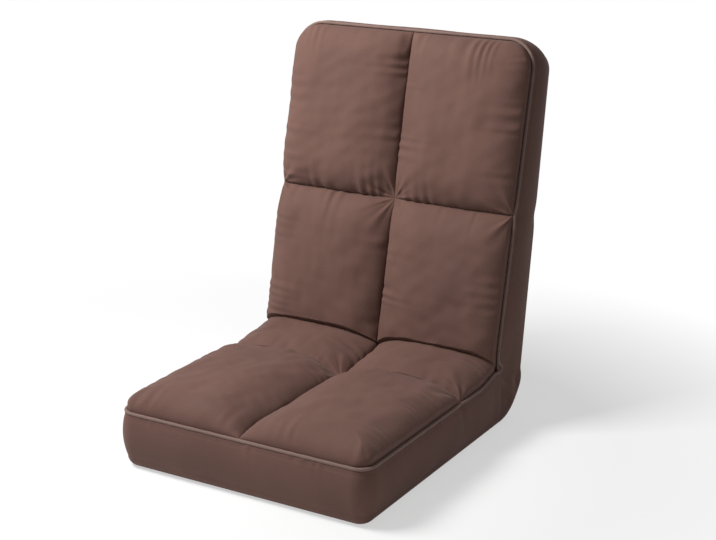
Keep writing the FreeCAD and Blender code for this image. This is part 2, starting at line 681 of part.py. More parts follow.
def cheek(x0, x1):
    """A hinge side plate with its hinge disc, pawl lobe and rail arm."""
    pin_y, pin_z = pawl_pin_at()
    plate = hinge_arm(x0, x1, SEAT_BOLTS)
    plate = plate.fuse(rod(x0, x1, 0, HINGE_HEIGHT, CHEEK_DISC))
    plate = plate.fuse(stadium(x0, x1, (0, HINGE_HEIGHT), (pin_y, pin_z), PAWL_EYE))
    plate = plate.removeSplitter()
    plate = plate.cut(rod(x0 - 1, x1 + 1, 0, HINGE_HEIGHT, PIVOT_RADIUS + RUNNING_GAP))
    plate = plate.cut(rod(x0 - 1, x1 + 1, pin_y, pin_z, PAWL_PIN_RADIUS + RUNNING_GAP))
    plate = plate.cut(rod(x0 - 1, x1 + 1, SPACER_Y, SPACER_Z, SPACER_RADIUS + RUNNING_GAP))
    return place(SEAT, bolt_holes(plate, x0, x1, SEAT_BOLTS))


def toothed_plate():
    """The plate on the back with the ratchet teeth, drawn in the place it has at rest."""
    x0, x1 = TOOTHED
    arm = place(BACK, bolt_holes(hinge_arm(x0, x1, BACK_BOLTS), x0, x1, BACK_BOLTS))
    disc = rod(x0, x1, 0, HINGE_HEIGHT, TOOTH_ROOT)
    last_gap = TIP_ANGLE + 90.0 - BACK_LEAN
    teeth = []
    gap_angle = TIP_ANGLE - TOOTH_PITCH
    while gap_angle < last_gap - 1.0:
        middle = gap_angle + TOOTH_PITCH / 2
        outline = [
            ray(middle - TOOTH_FOOT / 2, TOOTH_ROOT - 1.0),
            ray(middle - TOOTH_FLAT / 2, TOOTH_TIP),
            ray(middle + TOOTH_FLAT / 2, TOOTH_TIP),
            ray(middle + TOOTH_FOOT / 2, TOOTH_ROOT - 1.0),
        ]
        teeth.append(prism(outline, x0, x1))
        gap_angle += TOOTH_PITCH
    plate = disc.fuse([arm] + teeth).removeSplitter()
    return plate.cut(rod(x0 - 1, x1 + 1, 0, HINGE_HEIGHT, PIVOT_RADIUS + RUNNING_GAP))


def pawl():
    """The pawl, drawn with its tip in a tooth gap and then lifted clear."""
    x0 = TOOTHED_MIDDLE - PAWL_THICKNESS / 2
    x1 = x0 + PAWL_THICKNESS
    pin_y, pin_z = ray(PAWL_ANGLE, PAWL_RADIUS)
    outline = [
        ray(TIP_ANGLE + 0.8, TOOTH_ROOT + 0.5),
        ray(TIP_ANGLE + 3.6, TOOTH_TIP + 0.1),
        ray(TIP_ANGLE + 8.5, TOOTH_TIP + 1.0),
        ray(TIP_ANGLE + 9.0, TOOTH_TIP + 8.0),
        (pin_y + 2.0, pin_z - PAWL_EYE + 0.3),
        (pin_y + 5.0, pin_z + 2.0),
        ray(TIP_ANGLE - 12.0, TOOTH_TIP + 1.2),
        ray(TIP_ANGLE - 6.5, TOOTH_TIP + 1.0),
        ray(TIP_ANGLE - 3.6, TOOTH_TIP + 0.1),
        ray(TIP_ANGLE - 0.8, TOOTH_ROOT + 0.5),
    ]
    solid = rod(x0, x1, pin_y, pin_z, PAWL_EYE - 0.5).fuse(prism(outline, x0, x1)).removeSplitter()
    solid = solid.cut(rod(x0 - 1, x1 + 1, pin_y, pin_z, PAWL_PIN_RADIUS + RUNNING_GAP))
    solid.rotate(V(0, pin_y, pin_z), X_AXIS, -PAWL_LIFT)
    return solid


def headed_pin(y, z, radius, head, thickness):
    """A riveted pin through both cheeks."""
    pin = rod(CHEEK_INNER[0] - thickness, CHEEK_OUTER[1] + thickness, y, z, radius)
    pin = pin.fuse(rod(CHEEK_INNER[0] - thickness, CHEEK_INNER[0], y, z, head))
    return pin.fuse(rod(CHEEK_OUTER[1], CHEEK_OUTER[1] + thickness, y, z, head)).removeSplitter()


def spacer_rivet():
    """A rivet with a shoulder that holds the cheeks apart."""
    rivet = headed_pin(SPACER_Y, SPACER_Z, SPACER_RADIUS, PIN_HEAD, PIN_HEAD_THICKNESS)
    shoulder = rod(CHEEK_INNER[1], CHEEK_OUTER[0], SPACER_Y, SPACER_Z, SPACER_SHOULDER)
    return rivet.fuse(shoulder).removeSplitter()


def pawl_spring():
    """A leaf spring hooked around the spacer rivet, its free end behind the pawl."""
    x0 = TOOTHED_MIDDLE - SPRING_WIDTH / 2
    y, z = SPACER_Y, SPACER_Z
    inner = SPACER_SHOULDER + RUNNING_GAP
    eye = rod(x0, x0 + SPRING_WIDTH, y, z, inner + SPRING_LEAF)
    tip_y, tip_z = ray(180.0 - TIP_ANGLE + 8.0, TOOTH_TIP + 14.0)
    run = V(0, tip_y - y, tip_z - z)
    side = V(0, -run.z, run.y).normalize()
    near = V(x0, y, z) + side * inner
    far = V(x0, tip_y, tip_z) + side * inner
    leaf = Part.Face(Part.makePolygon([
        near, far, far + side * SPRING_LEAF, near + side * SPRING_LEAF, near]))
    spring = eye.fuse(leaf.extrude(V(SPRING_WIDTH, 0, 0))).removeSplitter()
    return spring.cut(rod(x0 - 1, x0 + SPRING_WIDTH + 1, y, z, inner))


def hexagon(x0, x1, y, z, across):
    """A six-sided head or nut along X."""
    points = []
    for step in range(6):
        turn = math.radians(60.0 * step)
        points.append((y + across * math.cos(turn), z + across * math.sin(turn)))
    return prism(points, x0, x1)


def bolts(half, places, outer_face):
    """Bolts along X, head outside, through the plates and the rail."""
    made = []
    inner_face = half.rail_x - RAIL_RADIUS
    for y in places:
        bolt = rod(inner_face - NUT_THICKNESS - 1.5, outer_face, y, RAIL_HEIGHT, BOLT_RADIUS)
        bolt = bolt.fuse(hexagon(outer_face, outer_face + BOLT_HEAD_THICKNESS, y, RAIL_HEIGHT, BOLT_HEAD))
        bolt = place(half, bolt.removeSplitter())
        made += [bolt, other_side(bolt)]
    return Part.makeCompound(made)


def nuts(half, places):
    made = []
    inner_face = half.rail_x - RAIL_RADIUS
    for y in places:
        nut = hexagon(inner_face - NUT_THICKNESS, inner_face, y, RAIL_HEIGHT, BOLT_HEAD)
        nut = nut.cut(rod(inner_face - NUT_THICKNESS - 1, inner_face + 1, y, RAIL_HEIGHT, BOLT_RADIUS + RUNNING_GAP))
        nut = place(half, nut)
        made += [nut, other_side(nut)]
    return Part.makeCompound(made)


def sleeves():
    """Spacer sleeves on the seat bolts between the two cheeks."""
    made = []
    for y in SEAT_BOLTS:
        sleeve = rod(CHEEK_INNER[1], CHEEK_OUTER[0], y, RAIL_HEIGHT, BOLT_RADIUS + 2.0)
        sleeve = sleeve.cut(rod(CHEEK_INNER[1] - 1, CHEEK_OUTER[0] + 1, y, RAIL_HEIGHT, BOLT_RADIUS + RUNNING_GAP))
        sleeve = place(SEAT, sleeve)
        made += [sleeve, other_side(sleeve)]
    return Part.makeCompound(made)


def pair(shape):
    """A shape at +X and its mirror image as one group."""
    return Part.makeCompound([shape, other_side(shape)])


def half_parts(name, half, crease, rows, strap_places, cross_places, bolt_places):
    """Every soft piece and frame piece of one half, placed at rest."""
    parts = {}
    made = pads(half, crease)
    for index, side in enumerate(("left", "right")):
        parts[name + "_pad_" + rows[0] + "_" + side] = near_pad(made[index])
        parts[name + "_pad_" + rows[1] + "_" + side] = far_pad(half, made[2 + index])
    parts[name + "_foam_lower"] = lower_sheet(half)
    parts[name + "_foam_border"] = edge_border(half)
    parts[name + "_foam_upper"] = upper_core(half)
    parts[name + "_gusset"] = gusset(half)
    parts[name + "_outer_panel"] = outer_panel(half)
    parts[name + "_piping"] = piping(half)
    parts[name + "_frame_tube"] = frame_tube(half, bolt_places)
    parts[name + "_tube_plugs"] = tube_plugs(half)
    for number, y in enumerate(cross_places, 1):
        parts[name + "_cross_tube_" + str(number)] = cross_tube(half, y)
    for number, y in enumerate(strap_places, 1):
        parts[name + "_strap_" + str(number)] = strap(half, y)
    return {node: place(half, shape) for node, shape in parts.items()}


def hinge_parts():
    """Both hinges, with the fasteners in groups."""
    seat_pin = ray(PAWL_ANGLE, PAWL_RADIUS)
    parts = {
        "pivot_rivets": pair(headed_pin(0, HINGE_HEIGHT, PIVOT_RADIUS, PIVOT_HEAD, PIVOT_HEAD_THICKNESS)),
        "pawl_pins": pair(headed_pin(seat_pin[0], seat_pin[1], PAWL_PIN_RADIUS, PIN_HEAD, PIN_HEAD_THICKNESS)),
        "spacer_rivets": pair(place(SEAT, spacer_rivet())),
        "seat_bolts": bolts(SEAT, SEAT_BOLTS, CHEEK_OUTER[1]),
        "seat_nuts": nuts(SEAT, SEAT_BOLTS),
        "seat_sleeves": sleeves(),
        "back_bolts": bolts(BACK, BACK_BOLTS, TOOTHED[1]),
        "back_nuts": nuts(BACK, BACK_BOLTS),
    }
    sided = {
        "cheek_inner": cheek(*CHEEK_INNER),
        "cheek_outer": cheek(*CHEEK_OUTER),
        "toothed_plate": toothed_plate(),
        "pawl": pawl(),
        "pawl_spring": place(SEAT, pawl_spring()),
    }
    for name, shape in sided.items():
        parts[name + "_right"] = shape
        parts[name + "_left"] = other_side(shape)
    return parts


def fold_parts():
    """The soft pieces that change shape as the back moves."""
    parts = {
        "heel_wrap": heel_wrap(),
        "heel_foam": heel_foam(),
    }
    sided = {
        "side_bridge": side_bridge(),
        "piping_tuck": piping_tuck(),
    }
    for name, shape in sided.items():
        parts[name + "_right"] = shape
        parts[name + "_left"] = other_side(shape)
    return parts


def main():
    os.makedirs("parts", exist_ok=True)
    parts = {}
    parts.update(half_parts("seat", SEAT, SEAT_CREASE, ("rear", "front"), SEAT_STRAPS, SEAT_CROSS_TUBES,
                            SEAT_BOLTS))
    parts.update(half_parts("back", BACK, BACK_CREASE, ("lower", "upper"), BACK_STRAPS, BACK_CROSS_TUBES,
                            BACK_BOLTS))
    parts.update(hinge_parts())
    parts.update(fold_parts())
    for node, shape in parts.items():
        shape.translate(V(0, FLOOR_CENTRE, 0))
        shape.exportStep(os.path.join("parts", node + ".step"))


main()
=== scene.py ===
import json
import math

import bpy
import numpy as np
from mathutils import Matrix, Vector


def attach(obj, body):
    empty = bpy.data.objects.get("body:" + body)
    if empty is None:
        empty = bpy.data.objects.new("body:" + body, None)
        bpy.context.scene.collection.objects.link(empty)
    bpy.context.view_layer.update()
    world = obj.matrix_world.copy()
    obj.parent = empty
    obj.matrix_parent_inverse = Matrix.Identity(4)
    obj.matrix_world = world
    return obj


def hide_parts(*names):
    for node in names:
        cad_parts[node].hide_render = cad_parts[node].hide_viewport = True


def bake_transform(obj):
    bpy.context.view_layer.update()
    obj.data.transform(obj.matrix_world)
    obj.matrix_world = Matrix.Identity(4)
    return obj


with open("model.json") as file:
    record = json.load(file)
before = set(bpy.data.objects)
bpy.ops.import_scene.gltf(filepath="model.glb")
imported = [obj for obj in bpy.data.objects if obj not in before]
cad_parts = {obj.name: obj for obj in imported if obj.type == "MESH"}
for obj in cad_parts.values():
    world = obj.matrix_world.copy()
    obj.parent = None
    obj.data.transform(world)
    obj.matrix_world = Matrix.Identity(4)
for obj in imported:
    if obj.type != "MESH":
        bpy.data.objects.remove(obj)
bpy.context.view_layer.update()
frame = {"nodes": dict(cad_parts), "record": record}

# Sizes in millimetres. Each half of the chair is drawn lying flat: X is across the chair, Y runs
# from the hinge axis to the far end of the half, and Z is the height above its outer face.
HALF_WIDTH = 252.0
HINGE_HEIGHT = 107.0
HINGE_Y = 235.25
BACK_LEAN = 9.0
EDGE_ROUND = 20.0
PIPING_RADIUS = 3.0
PIPING_DRAW = 1.5
PAD_GAP = 0.3
SEAM_GAP = 0.15
PAD_START = 16.2
SEAT_RISE = 17.0
SEAT_RISE_LENGTH = 76.0
HEEL_RADIUS = 85.0
BRIDGE_RADIUS = 50.0
CLOTH = 1.8
PANEL_CLOTH = 1.2

ROUND_STEPS = 9

PAD_EDGE = HALF_WIDTH - PIPING_RADIUS - PAD_GAP
BACK_TURN = math.radians(90.0 - BACK_LEAN)
FOLD_HALF = math.radians((90.0 + BACK_LEAN) / 2.0)


class Half:
    """One cushion of the chair, drawn flat, and the body that it rides on."""

    def __init__(self, body, length, rim_low, rim_high, crease, corner, crown,
                 cross_fold, middle_pleat, fold_drop, groove):
        self.body = body
        self.length = length
        self.rim_low = rim_low
        self.rim_high = rim_high
        self.crease = crease
        self.corner = corner
        self.crown = crown
        self.cross_fold = cross_fold
        self.middle_pleat = middle_pleat
        self.fold_drop = fold_drop
        self.groove = groove
        self.pad_end = length - PIPING_DRAW - PIPING_RADIUS - PAD_GAP
        self.pad_corner = corner - PIPING_RADIUS - PAD_GAP

    def rim(self, y):
        """Height of the piping line at a distance from the hinge axis."""
        y = np.asarray(y, float)
        line = self.rim_low + (self.rim_high - self.rim_low) * y / self.length
        if self.body == "back":
            return line
        run = np.clip(PAD_START + SEAT_RISE_LENGTH - y, 0.0, SEAT_RISE_LENGTH)
        radius = (SEAT_RISE_LENGTH ** 2 + SEAT_RISE ** 2) / (2 * SEAT_RISE)
        return line + radius - np.sqrt(radius ** 2 - run ** 2)

    def place(self, points):
        """Flat points in millimetres to their place at rest in metres."""
        points = np.asarray(points, float)
        x, y, z = points[..., 0], points[..., 1], points[..., 2]
        if self.body == "seat":
            return np.stack([x, HINGE_Y - y, z], -1) / 1000.0
        rise = z - HINGE_HEIGHT
        across = HINGE_Y + y * math.cos(BACK_TURN) - rise * math.sin(BACK_TURN)
        up = HINGE_HEIGHT + y * math.sin(BACK_TURN) + rise * math.cos(BACK_TURN)
        return np.stack([x, across, up], -1) / 1000.0


SEAT = Half("seat", length=490.0, rim_low=104.0, rim_high=104.0,
            crease=155.0, corner=28.0, crown=47.0,
            cross_fold=0.9, middle_pleat=2.2, fold_drop=7.0, groove=0.0)
BACK = Half("back", length=616.0, rim_low=127.0, rim_high=83.5,
            crease=298.0, corner=54.0, crown=43.0,
            cross_fold=2.2, middle_pleat=4.0, fold_drop=15.0, groove=7.0)


def back_flat(points):
    """Points of the back at rest in metres to flat ones in millimetres."""
    points = np.asarray(points, float) * 1000.0
    across, up = points[..., 1] - HINGE_Y, points[..., 2] - HINGE_HEIGHT
    y = across * math.cos(BACK_TURN) + up * math.sin(BACK_TURN)
    z = HINGE_HEIGHT - across * math.sin(BACK_TURN) + up * math.cos(BACK_TURN)
    return np.stack([points[..., 0], y, z], -1)


# Small tools

def waves(points, scale, seed, count=28):
    """Smooth noise of about unit size, as a sum of seeded plane waves."""
    rng = np.random.default_rng(seed)
    directions = rng.normal(size=(count, points.shape[-1]))
    directions /= np.linalg.norm(directions, axis=1)[:, None]
    lengths = scale * rng.uniform(0.7, 1.8, count)
    phases = rng.uniform(0, 2 * math.pi, count)
    total = np.zeros(points.shape[:-1])
    for direction, length, phase in zip(directions, lengths, phases):
        total += np.sin(points @ direction * (2 * math.pi / length) + phase)
    return total / math.sqrt(count / 2.0)


def rise(distance, reach, floor=0.0, power=1.0):
    """Quarter-round rise from a floor at a seam to 1 at a reach from it."""
    near = 1.0 - np.clip(distance / reach, 0.0, 1.0)
    return floor + (1.0 - floor) * np.sqrt(1.0 - near ** 2) ** power


def bell(distance, width):
    """1 at no distance, falling smoothly to nothing over a few widths."""
    return np.exp(-(distance / width) ** 2)


def ramp_up(distance, reach):
    """Straight rise from 0 at no distance to 1 at a reach."""
    return np.clip(distance / reach, 0.0, 1.0)


def held_ends(count, reach):
    """0 at the first and last of a count of ribs, rising to 1 over a reach of ribs."""
    rib = np.arange(count)
    return ramp_up(np.minimum(rib, count - 1 - rib), reach)[:, None]


def spread(count, pull=0.7):
    """Numbers from 0 to 1, closer together near both ends."""
    even = np.linspace(0.0, 1.0, count)
    return (1 - pull) * even + pull * (0.5 - 0.5 * np.cos(math.pi * even))


def along_line(line, count):
    """Evenly spaced points of a line, and their distances along it."""
    steps = np.linalg.norm(np.diff(line, axis=0), axis=1)
    reached = np.concatenate([[0.0], np.cumsum(steps)])
    places = np.linspace(0.0, reached[-1], count)
    columns = [np.interp(places, reached, line[:, k]) for k in range(line.shape[1])]
    return np.stack(columns, -1), places


def new_mesh(name, points, faces, smooth=True):
    mesh = bpy.data.meshes.new(name)
    mesh.from_pydata([tuple(p) for p in points], [], faces)
    mesh.validate()
    if smooth:
        mesh.polygons.foreach_set("use_smooth", [True] * len(mesh.polygons))
    piece = bpy.data.objects.new(name, mesh)
    bpy.context.collection.objects.link(piece)
    return piece


def grid_faces(rows, columns, close=False):
    """Quads of a grid of points, row by row; close joins the last column to the first."""
    faces = []
    last = columns if close else columns - 1
    for i in range(rows - 1):
        for j in range(last):
            k = (j + 1) % columns
            this, following = i * columns, (i + 1) * columns
            faces.append((this + j, this + k, following + k, following + j))
    return faces


def grid_piece(name, points):
    rows, columns = points.shape[:2]
    return new_mesh(name, points.reshape(-1, 3), grid_faces(rows, columns))


def outward(piece):
    """Turns all faces of a closed piece outwards."""
    bpy.context.view_layer.objects.active = piece
    piece.select_set(True)
    bpy.ops.object.mode_set(mode="EDIT")
    bpy.ops.mesh.select_all(action="SELECT")
    bpy.ops.mesh.normals_make_consistent(inside=False)
    bpy.ops.object.mode_set(mode="OBJECT")
    piece.select_set(False)
    return piece


def apply_modifiers(piece):
    graph = bpy.context.evaluated_depsgraph_get()
    graph.update()
    mesh = bpy.data.meshes.new_from_object(piece.evaluated_get(graph))
    old = piece.data
    piece.modifiers.clear()
    piece.data = mesh
    mesh.name = old.name
    mesh.polygons.foreach_set("use_smooth", [True] * len(mesh.polygons))


def thicken(piece, depth, inside=None):
    """Gives a skin its cloth thickness in millimetres on the side of a point inside it."""
    if inside is None:
        inside = sum((v.co for v in piece.data.vertices), Vector()) / len(piece.data.vertices)
    inside = Vector(inside)
    total = 0.0
    for face in piece.data.polygons:
        total += face.normal.dot(face.center - inside) * face.area
    if total < 0:
        piece.data.flip_normals()
    solid = piece.modifiers.new("thickness", "SOLIDIFY")
    solid.thickness = depth / 1000.0
    solid.offset = -1.0
    apply_modifiers(piece)


def across_fold(piece):
    """Bakes the piece's placement into its mesh; the piece is left on no body."""
    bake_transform(piece)


# Materials

def material(name, color, rough):
    made = bpy.data.materials.new(name)
    made.use_nodes = True
    shader = made.node_tree.nodes["Principled BSDF"]
    shader.inputs["Base Color"].default_value = (*color, 1.0)
    shader.inputs["Roughness"].default_value = rough
    return made, made.node_tree, shader


def add_node(tree, kind, **values):
    node = tree.nodes.new(kind)
    for key, value in values.items():
        if key in node.inputs:
            node.inputs[key].default_value = value
        else:
            setattr(node, key, value)
    return node


def ramp(tree, source, stops):
    """Colours along a source from 0 to 1, as stops of (place, colour)."""
    node = tree.nodes.new("ShaderNodeValToRGB")
    elements = node.color_ramp.elements
    while len(elements) < len(stops):
        elements.new(0.5)
    for element, (place, color) in zip(elements, stops):
        element.position = place
        element.color = (*color, 1.0)
    tree.links.new(source, node.inputs["Fac"])
    return node.outputs["Color"]


def grey(level):
    return (level, level, level)


def shade(color, share):
    """A colour made darker or lighter by a share."""
    return tuple(channel * share for channel in color)


def object_coordinates(tree):
    return tree.nodes.new("ShaderNodeTexCoord").outputs["Object"]


def noise(tree, coordinates, scale, detail=2.0, rough=0.5, stretch=None):
    if stretch:
        mapping = add_node(tree, "ShaderNodeMapping", Scale=stretch)
        tree.links.new(coordinates, mapping.inputs["Vector"])
        coordinates = mapping.outputs["Vector"]
    node = add_node(tree, "ShaderNodeTexNoise", Scale=scale, Detail=detail, Roughness=rough)
    tree.links.new(coordinates, node.inputs["Vector"])
    return node.outputs["Fac"]


def bump(tree, shader, layers):
    """Chains height layers of (source, distance in metres, strength) into the shader's normal."""
    last = None
    for source, distance, strength in layers:
        node = add_node(tree, "ShaderNodeBump", Strength=strength, Distance=distance)
        tree.links.new(source, node.inputs["Height"])
        if last:
            tree.links.new(last, node.inputs["Normal"])
        last = node.outputs["Normal"]
    tree.links.new(last, shader.inputs["Normal"])


def bands(tree, coordinates, direction, **values):
    node = add_node(tree, "ShaderNodeTexWave", wave_type="BANDS", **values)
    node.bands_direction = direction
    tree.links.new(coordinates, node.inputs["Vector"])
    return node.outputs["Fac"]


def weave(tree, coordinates, pitch):
    """Height of a plain weave with threads of a pitch in metres."""
    both = add_node(tree, "ShaderNodeMath", operation="MULTIPLY")
    scale = 0.314 / pitch
    for index, direction in enumerate(("X", "Z")):
        threads = bands(tree, coordinates, direction, Scale=scale, Distortion=0.6, Detail=1.0)
        tree.links.new(threads, both.inputs[index])
    return both.outputs[0]


def suede_cloth(name, dark, light, sheen):
    """Brushed microfibre: a short nap with lighter and darker strokes over a fine weave."""
    made, tree, shader = material(name, dark, 0.82)
    place = object_coordinates(tree)
    strokes = noise(tree, place, scale=9.0, detail=5.0, rough=0.62, stretch=(1.0, 1.0, 0.55))
    specks = noise(tree, place, scale=900.0, detail=2.0, rough=0.6)
    mix = add_node(tree, "ShaderNodeMix", data_type="FLOAT")
    mix.inputs[0].default_value = 0.35
    tree.links.new(strokes, mix.inputs[2])
    tree.links.new(specks, mix.inputs[3])
    color = ramp(tree, mix.outputs[0], [(0.36, dark), (0.64, light)])
    tree.links.new(color, shader.inputs["Base Color"])
    rough = ramp(tree, strokes, [(0.3, grey(0.74)), (0.7, grey(0.9))])
    tree.links.new(rough, shader.inputs["Roughness"])
    shader.inputs["Sheen Weight"].default_value = sheen
    shader.inputs["Sheen Roughness"].default_value = 0.45
    shader.inputs["Sheen Tint"].default_value = (0.95, 0.8, 0.74, 1.0)
    shader.inputs["Specular IOR Level"].default_value = 0.25
    bump(tree, shader, [
        (weave(tree, place, pitch=0.0009), 0.00012, 0.35),
        (noise(tree, place, scale=420.0, detail=3.0, rough=0.6), 0.00025, 0.4),
        (noise(tree, place, scale=45.0, detail=3.0), 0.0009, 0.35),
    ])
    return made


def dotted_base(name, dark, dot):
    """Dark woven base cloth with rubbery grip dots."""
    made, tree, shader = material(name, dark, 0.8)
    place = object_coordinates(tree)
    cells = add_node(tree, "ShaderNodeTexVoronoi", Scale=110.0, Randomness=0.0)
    tree.links.new(place, cells.inputs["Vector"])
    spots = ramp(tree, cells.outputs["Distance"], [(0.22, grey(1.0)), (0.28, grey(0.0))])
    tone = add_node(tree, "ShaderNodeMix", data_type="RGBA")
    tree.links.new(spots, tone.inputs[0])
    fibres = noise(tree, place, scale=300.0, detail=3.0)
    cloth = ramp(tree, fibres, [(0.3, dark), (0.7, shade(dark, 1.5))])
    tree.links.new(cloth, tone.inputs[6])
    tone.inputs[7].default_value = (*dot, 1.0)
    tree.links.new(tone.outputs[2], shader.inputs["Base Color"])
    bump(tree, shader, [(weave(tree, place, pitch=0.0012), 0.0002, 0.5), (spots, 0.0008, 0.6)])
    return made


def foam_stuff(name, color):
    """Open-celled foam with slightly yellowed patches."""
    made, tree, shader = material(name, color, 0.95)
    place = object_coordinates(tree)
    cells = add_node(tree, "ShaderNodeTexVoronoi", Scale=700.0)
    tree.links.new(place, cells.inputs["Vector"])
    patches = noise(tree, place, scale=14.0, detail=4.0)
    tone = ramp(tree, patches, [(0.3, shade(color, 0.8)), (0.7, color)])
    tree.links.new(tone, shader.inputs["Base Color"])
    bump(tree, shader, [(cells.outputs["Distance"], 0.0006, 0.7)])
    return made


def webbing(name, color):
    """Ribbed elastic strap."""
    made, tree, shader = material(name, color, 0.7)
    place = object_coordinates(tree)
    ribs = bands(tree, place, "X", Scale=160.0, Distortion=0.3)
    tone = ramp(tree, ribs, [(0.2, color), (0.8, shade(color, 2.2))])
    tree.links.new(tone, shader.inputs["Base Color"])
    bump(tree, shader, [(ribs, 0.0004, 0.6), (weave(tree, place, pitch=0.001), 0.0002, 0.4)])
    return made


def painted_tube(name, color):
    """Baked black paint with a fine speckle and duller patches."""
    made, tree, shader = material(name, color, 0.38)
    place = object_coordinates(tree)
    speckle = noise(tree, place, scale=650.0, detail=3.0)
    patches = noise(tree, place, scale=25.0, detail=4.0)
    rough = ramp(tree, patches, [(0.3, grey(0.3)), (0.75, grey(0.5))])
    tree.links.new(rough, shader.inputs["Roughness"])
    tone = ramp(tree, speckle, [(0.35, color), (0.8, shade(color, 1.6))])
    tree.links.new(tone, shader.inputs["Base Color"])
    bump(tree, shader, [(speckle, 0.0001, 0.3)])
    return made


def plated_steel(name, color, rough):
    """Plated sheet with a faint rolled grain and duller patches."""
    made, tree, shader = material(name, color, rough)
    shader.inputs["Metallic"].default_value = 1.0
    place = object_coordinates(tree)
    grain = noise(tree, place, scale=60.0, detail=4.0, rough=0.6, stretch=(1.0, 12.0, 1.0))
    patches = noise(tree, place, scale=35.0, detail=3.0)
    tone = ramp(tree, patches, [(0.3, shade(color, 0.75)), (0.7, color)])
    tree.links.new(tone, shader.inputs["Base Color"])
    finish = ramp(tree, grain, [(0.25, grey(rough * 0.8)), (0.8, grey(min(1.0, rough * 1.5)))])
    tree.links.new(finish, shader.inputs["Roughness"])
    bump(tree, shader, [(grain, 0.00005, 0.4)])
    return made


def moulded_plastic(name, color):
    """Dark plastic with a fine moulded grain."""
    made, tree, shader = material(name, color, 0.5)
    place = object_coordinates(tree)
    grain = noise(tree, place, scale=800.0, detail=3.0)
    patches = noise(tree, place, scale=60.0)
    light = tuple(channel * 1.8 + 0.005 for channel in color)
    tone = ramp(tree, patches, [(0.3, color), (0.8, light)])
    tree.links.new(tone, shader.inputs["Base Color"])
    bump(tree, shader, [(grain, 0.0001, 0.35)])
    return made


FINISHES = {
    "cover_cloth": suede_cloth(
        "cover_cloth_look", dark=(0.104, 0.052, 0.041), light=(0.138, 0.072, 0.057), sheen=0.08),
    # Painted highlight: the piping is the same brown cloth as the cover, coloured lighter to stand
    # in for light catching the raised cord.
    "piping_cloth": suede_cloth(
        "piping_cloth_painted_highlight_look", dark=(0.160, 0.098, 0.084), light=(0.215, 0.140, 0.120), sheen=0.15),
    "base_cloth": dotted_base("base_cloth_look", (0.030, 0.029, 0.036), (0.012, 0.012, 0.014)),
    "foam": foam_stuff("foam_look", (0.72, 0.68, 0.55)),
    "strap_elastic": webbing("strap_look", (0.03, 0.03, 0.032)),
    "tube_steel": painted_tube("tube_look", (0.035, 0.035, 0.038)),
    "hinge_steel": plated_steel("hinge_look", (0.62, 0.60, 0.54), 0.35),
    "spring_steel": plated_steel("spring_look", (0.32, 0.32, 0.34), 0.3),
    "fastener_steel": plated_steel("fastener_look", (0.58, 0.58, 0.57), 0.3),
    "plug_plastic": moulded_plastic("plug_look", (0.015, 0.015, 0.016)),
}


def dress(piece, slot):
    piece.data.materials.clear()
    piece.data.materials.append(FINISHES[slot])


def dress_frame_nodes():
    """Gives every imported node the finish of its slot."""
    slots = {part["node"]: part["material_slot"] for part in frame["record"]["subparts"]}
    for name, node in frame["nodes"].items():
        finish = FINISHES[slots[name]]
        if not node.material_slots:
            node.data.materials.append(finish)
        for place in node.material_slots:
            place.material = finish


# Pads, in millimetres

# How a stuffed pad rises away from its piping, the middle seam, the cross seam and the fold.
EDGE_RISE = {"reach": 52.0, "power": 0.8}
MIDDLE_RISE = {"reach": 88.0, "floor": 0.10, "power": 1.25}
CROSS_RISE = {"reach": 70.0, "power": 1.15}
FOLD_RISE = {"reach": 60.0, "floor": 0.80}

# Small folds that the seams of a pad gather into its cloth.
EDGE_FOLDS = {"pitch": 23.0, "height": 3.2, "reach": 24.0}
MIDDLE_FOLDS = {"pitch": 31.0, "height": 1.8, "reach": 26.0}
CROSS_FOLDS = {"pitch": 27.0, "reach": 24.0}

SEAM_DEPTH = 0.14
CROWN_EVEN = 0.86
LOOSE_HEIGHT = 12.0
STITCH_DEPTH = 0.55
STITCH_REACH = 24.0
LEAN = 5.0
LEAN_REACH = 9.0
LEAN_HEIGHT = 5.0
LEAST_HEIGHT = 0.2
SKIRT_DEPTH = 3.0
FOLD_GAP = 0.4


def pad_span(half, near):
    """Where a pad starts and ends along its half."""
    if near:
        return PAD_START, half.crease - SEAM_GAP
    return half.crease + SEAM_GAP, half.pad_end


def pad_plan(half, near):
    """Grid of places that a pad covers: out from the middle seam, and along its half."""
    rows, columns = (96, 104) if near and half is SEAT else (150, 120)
    start, end = pad_span(half, near)
    y = start + (end - start) * spread(rows)[:, None] + np.zeros((1, columns))
    limit = np.full_like(y, PAD_EDGE)
    if not near:
        corner = half.pad_corner
        past = np.clip(y - (end - corner), 0.0, corner)
        limit = PAD_EDGE - corner + np.sqrt(np.maximum(corner ** 2 - past ** 2, 0.0))
    x = SEAM_GAP + (limit - SEAM_GAP) * spread(columns)[None, :]
    return x, y


def edge_distance(half, x, y, near):
    """Distance from a point of a pad to its piping, and its place along it."""
    from_side = PAD_EDGE - x
    if near:
        return np.maximum(from_side, 0.0), y
    corner = half.pad_corner
    from_end = half.pad_end - y
    in_corner = (from_side < corner) & (from_end < corner)
    round_off = corner - np.hypot(corner - from_side, corner - from_end)
    distance = np.where(in_corner, round_off, np.minimum(from_side, from_end))
    along = np.where(from_side < from_end, y, half.pad_end + PAD_EDGE - x)
    return np.maximum(distance, 0.0), along


def cross_depth(half, x):
    """Share of full height at the cross seam, which the seat's pads bridge between stitches."""
    if half is BACK:
        return SEAM_DEPTH + 0.06
    return SEAM_DEPTH + 0.68 * np.sin(math.pi * np.clip(x / PAD_EDGE, 0.0, 1.0)) ** 0.8


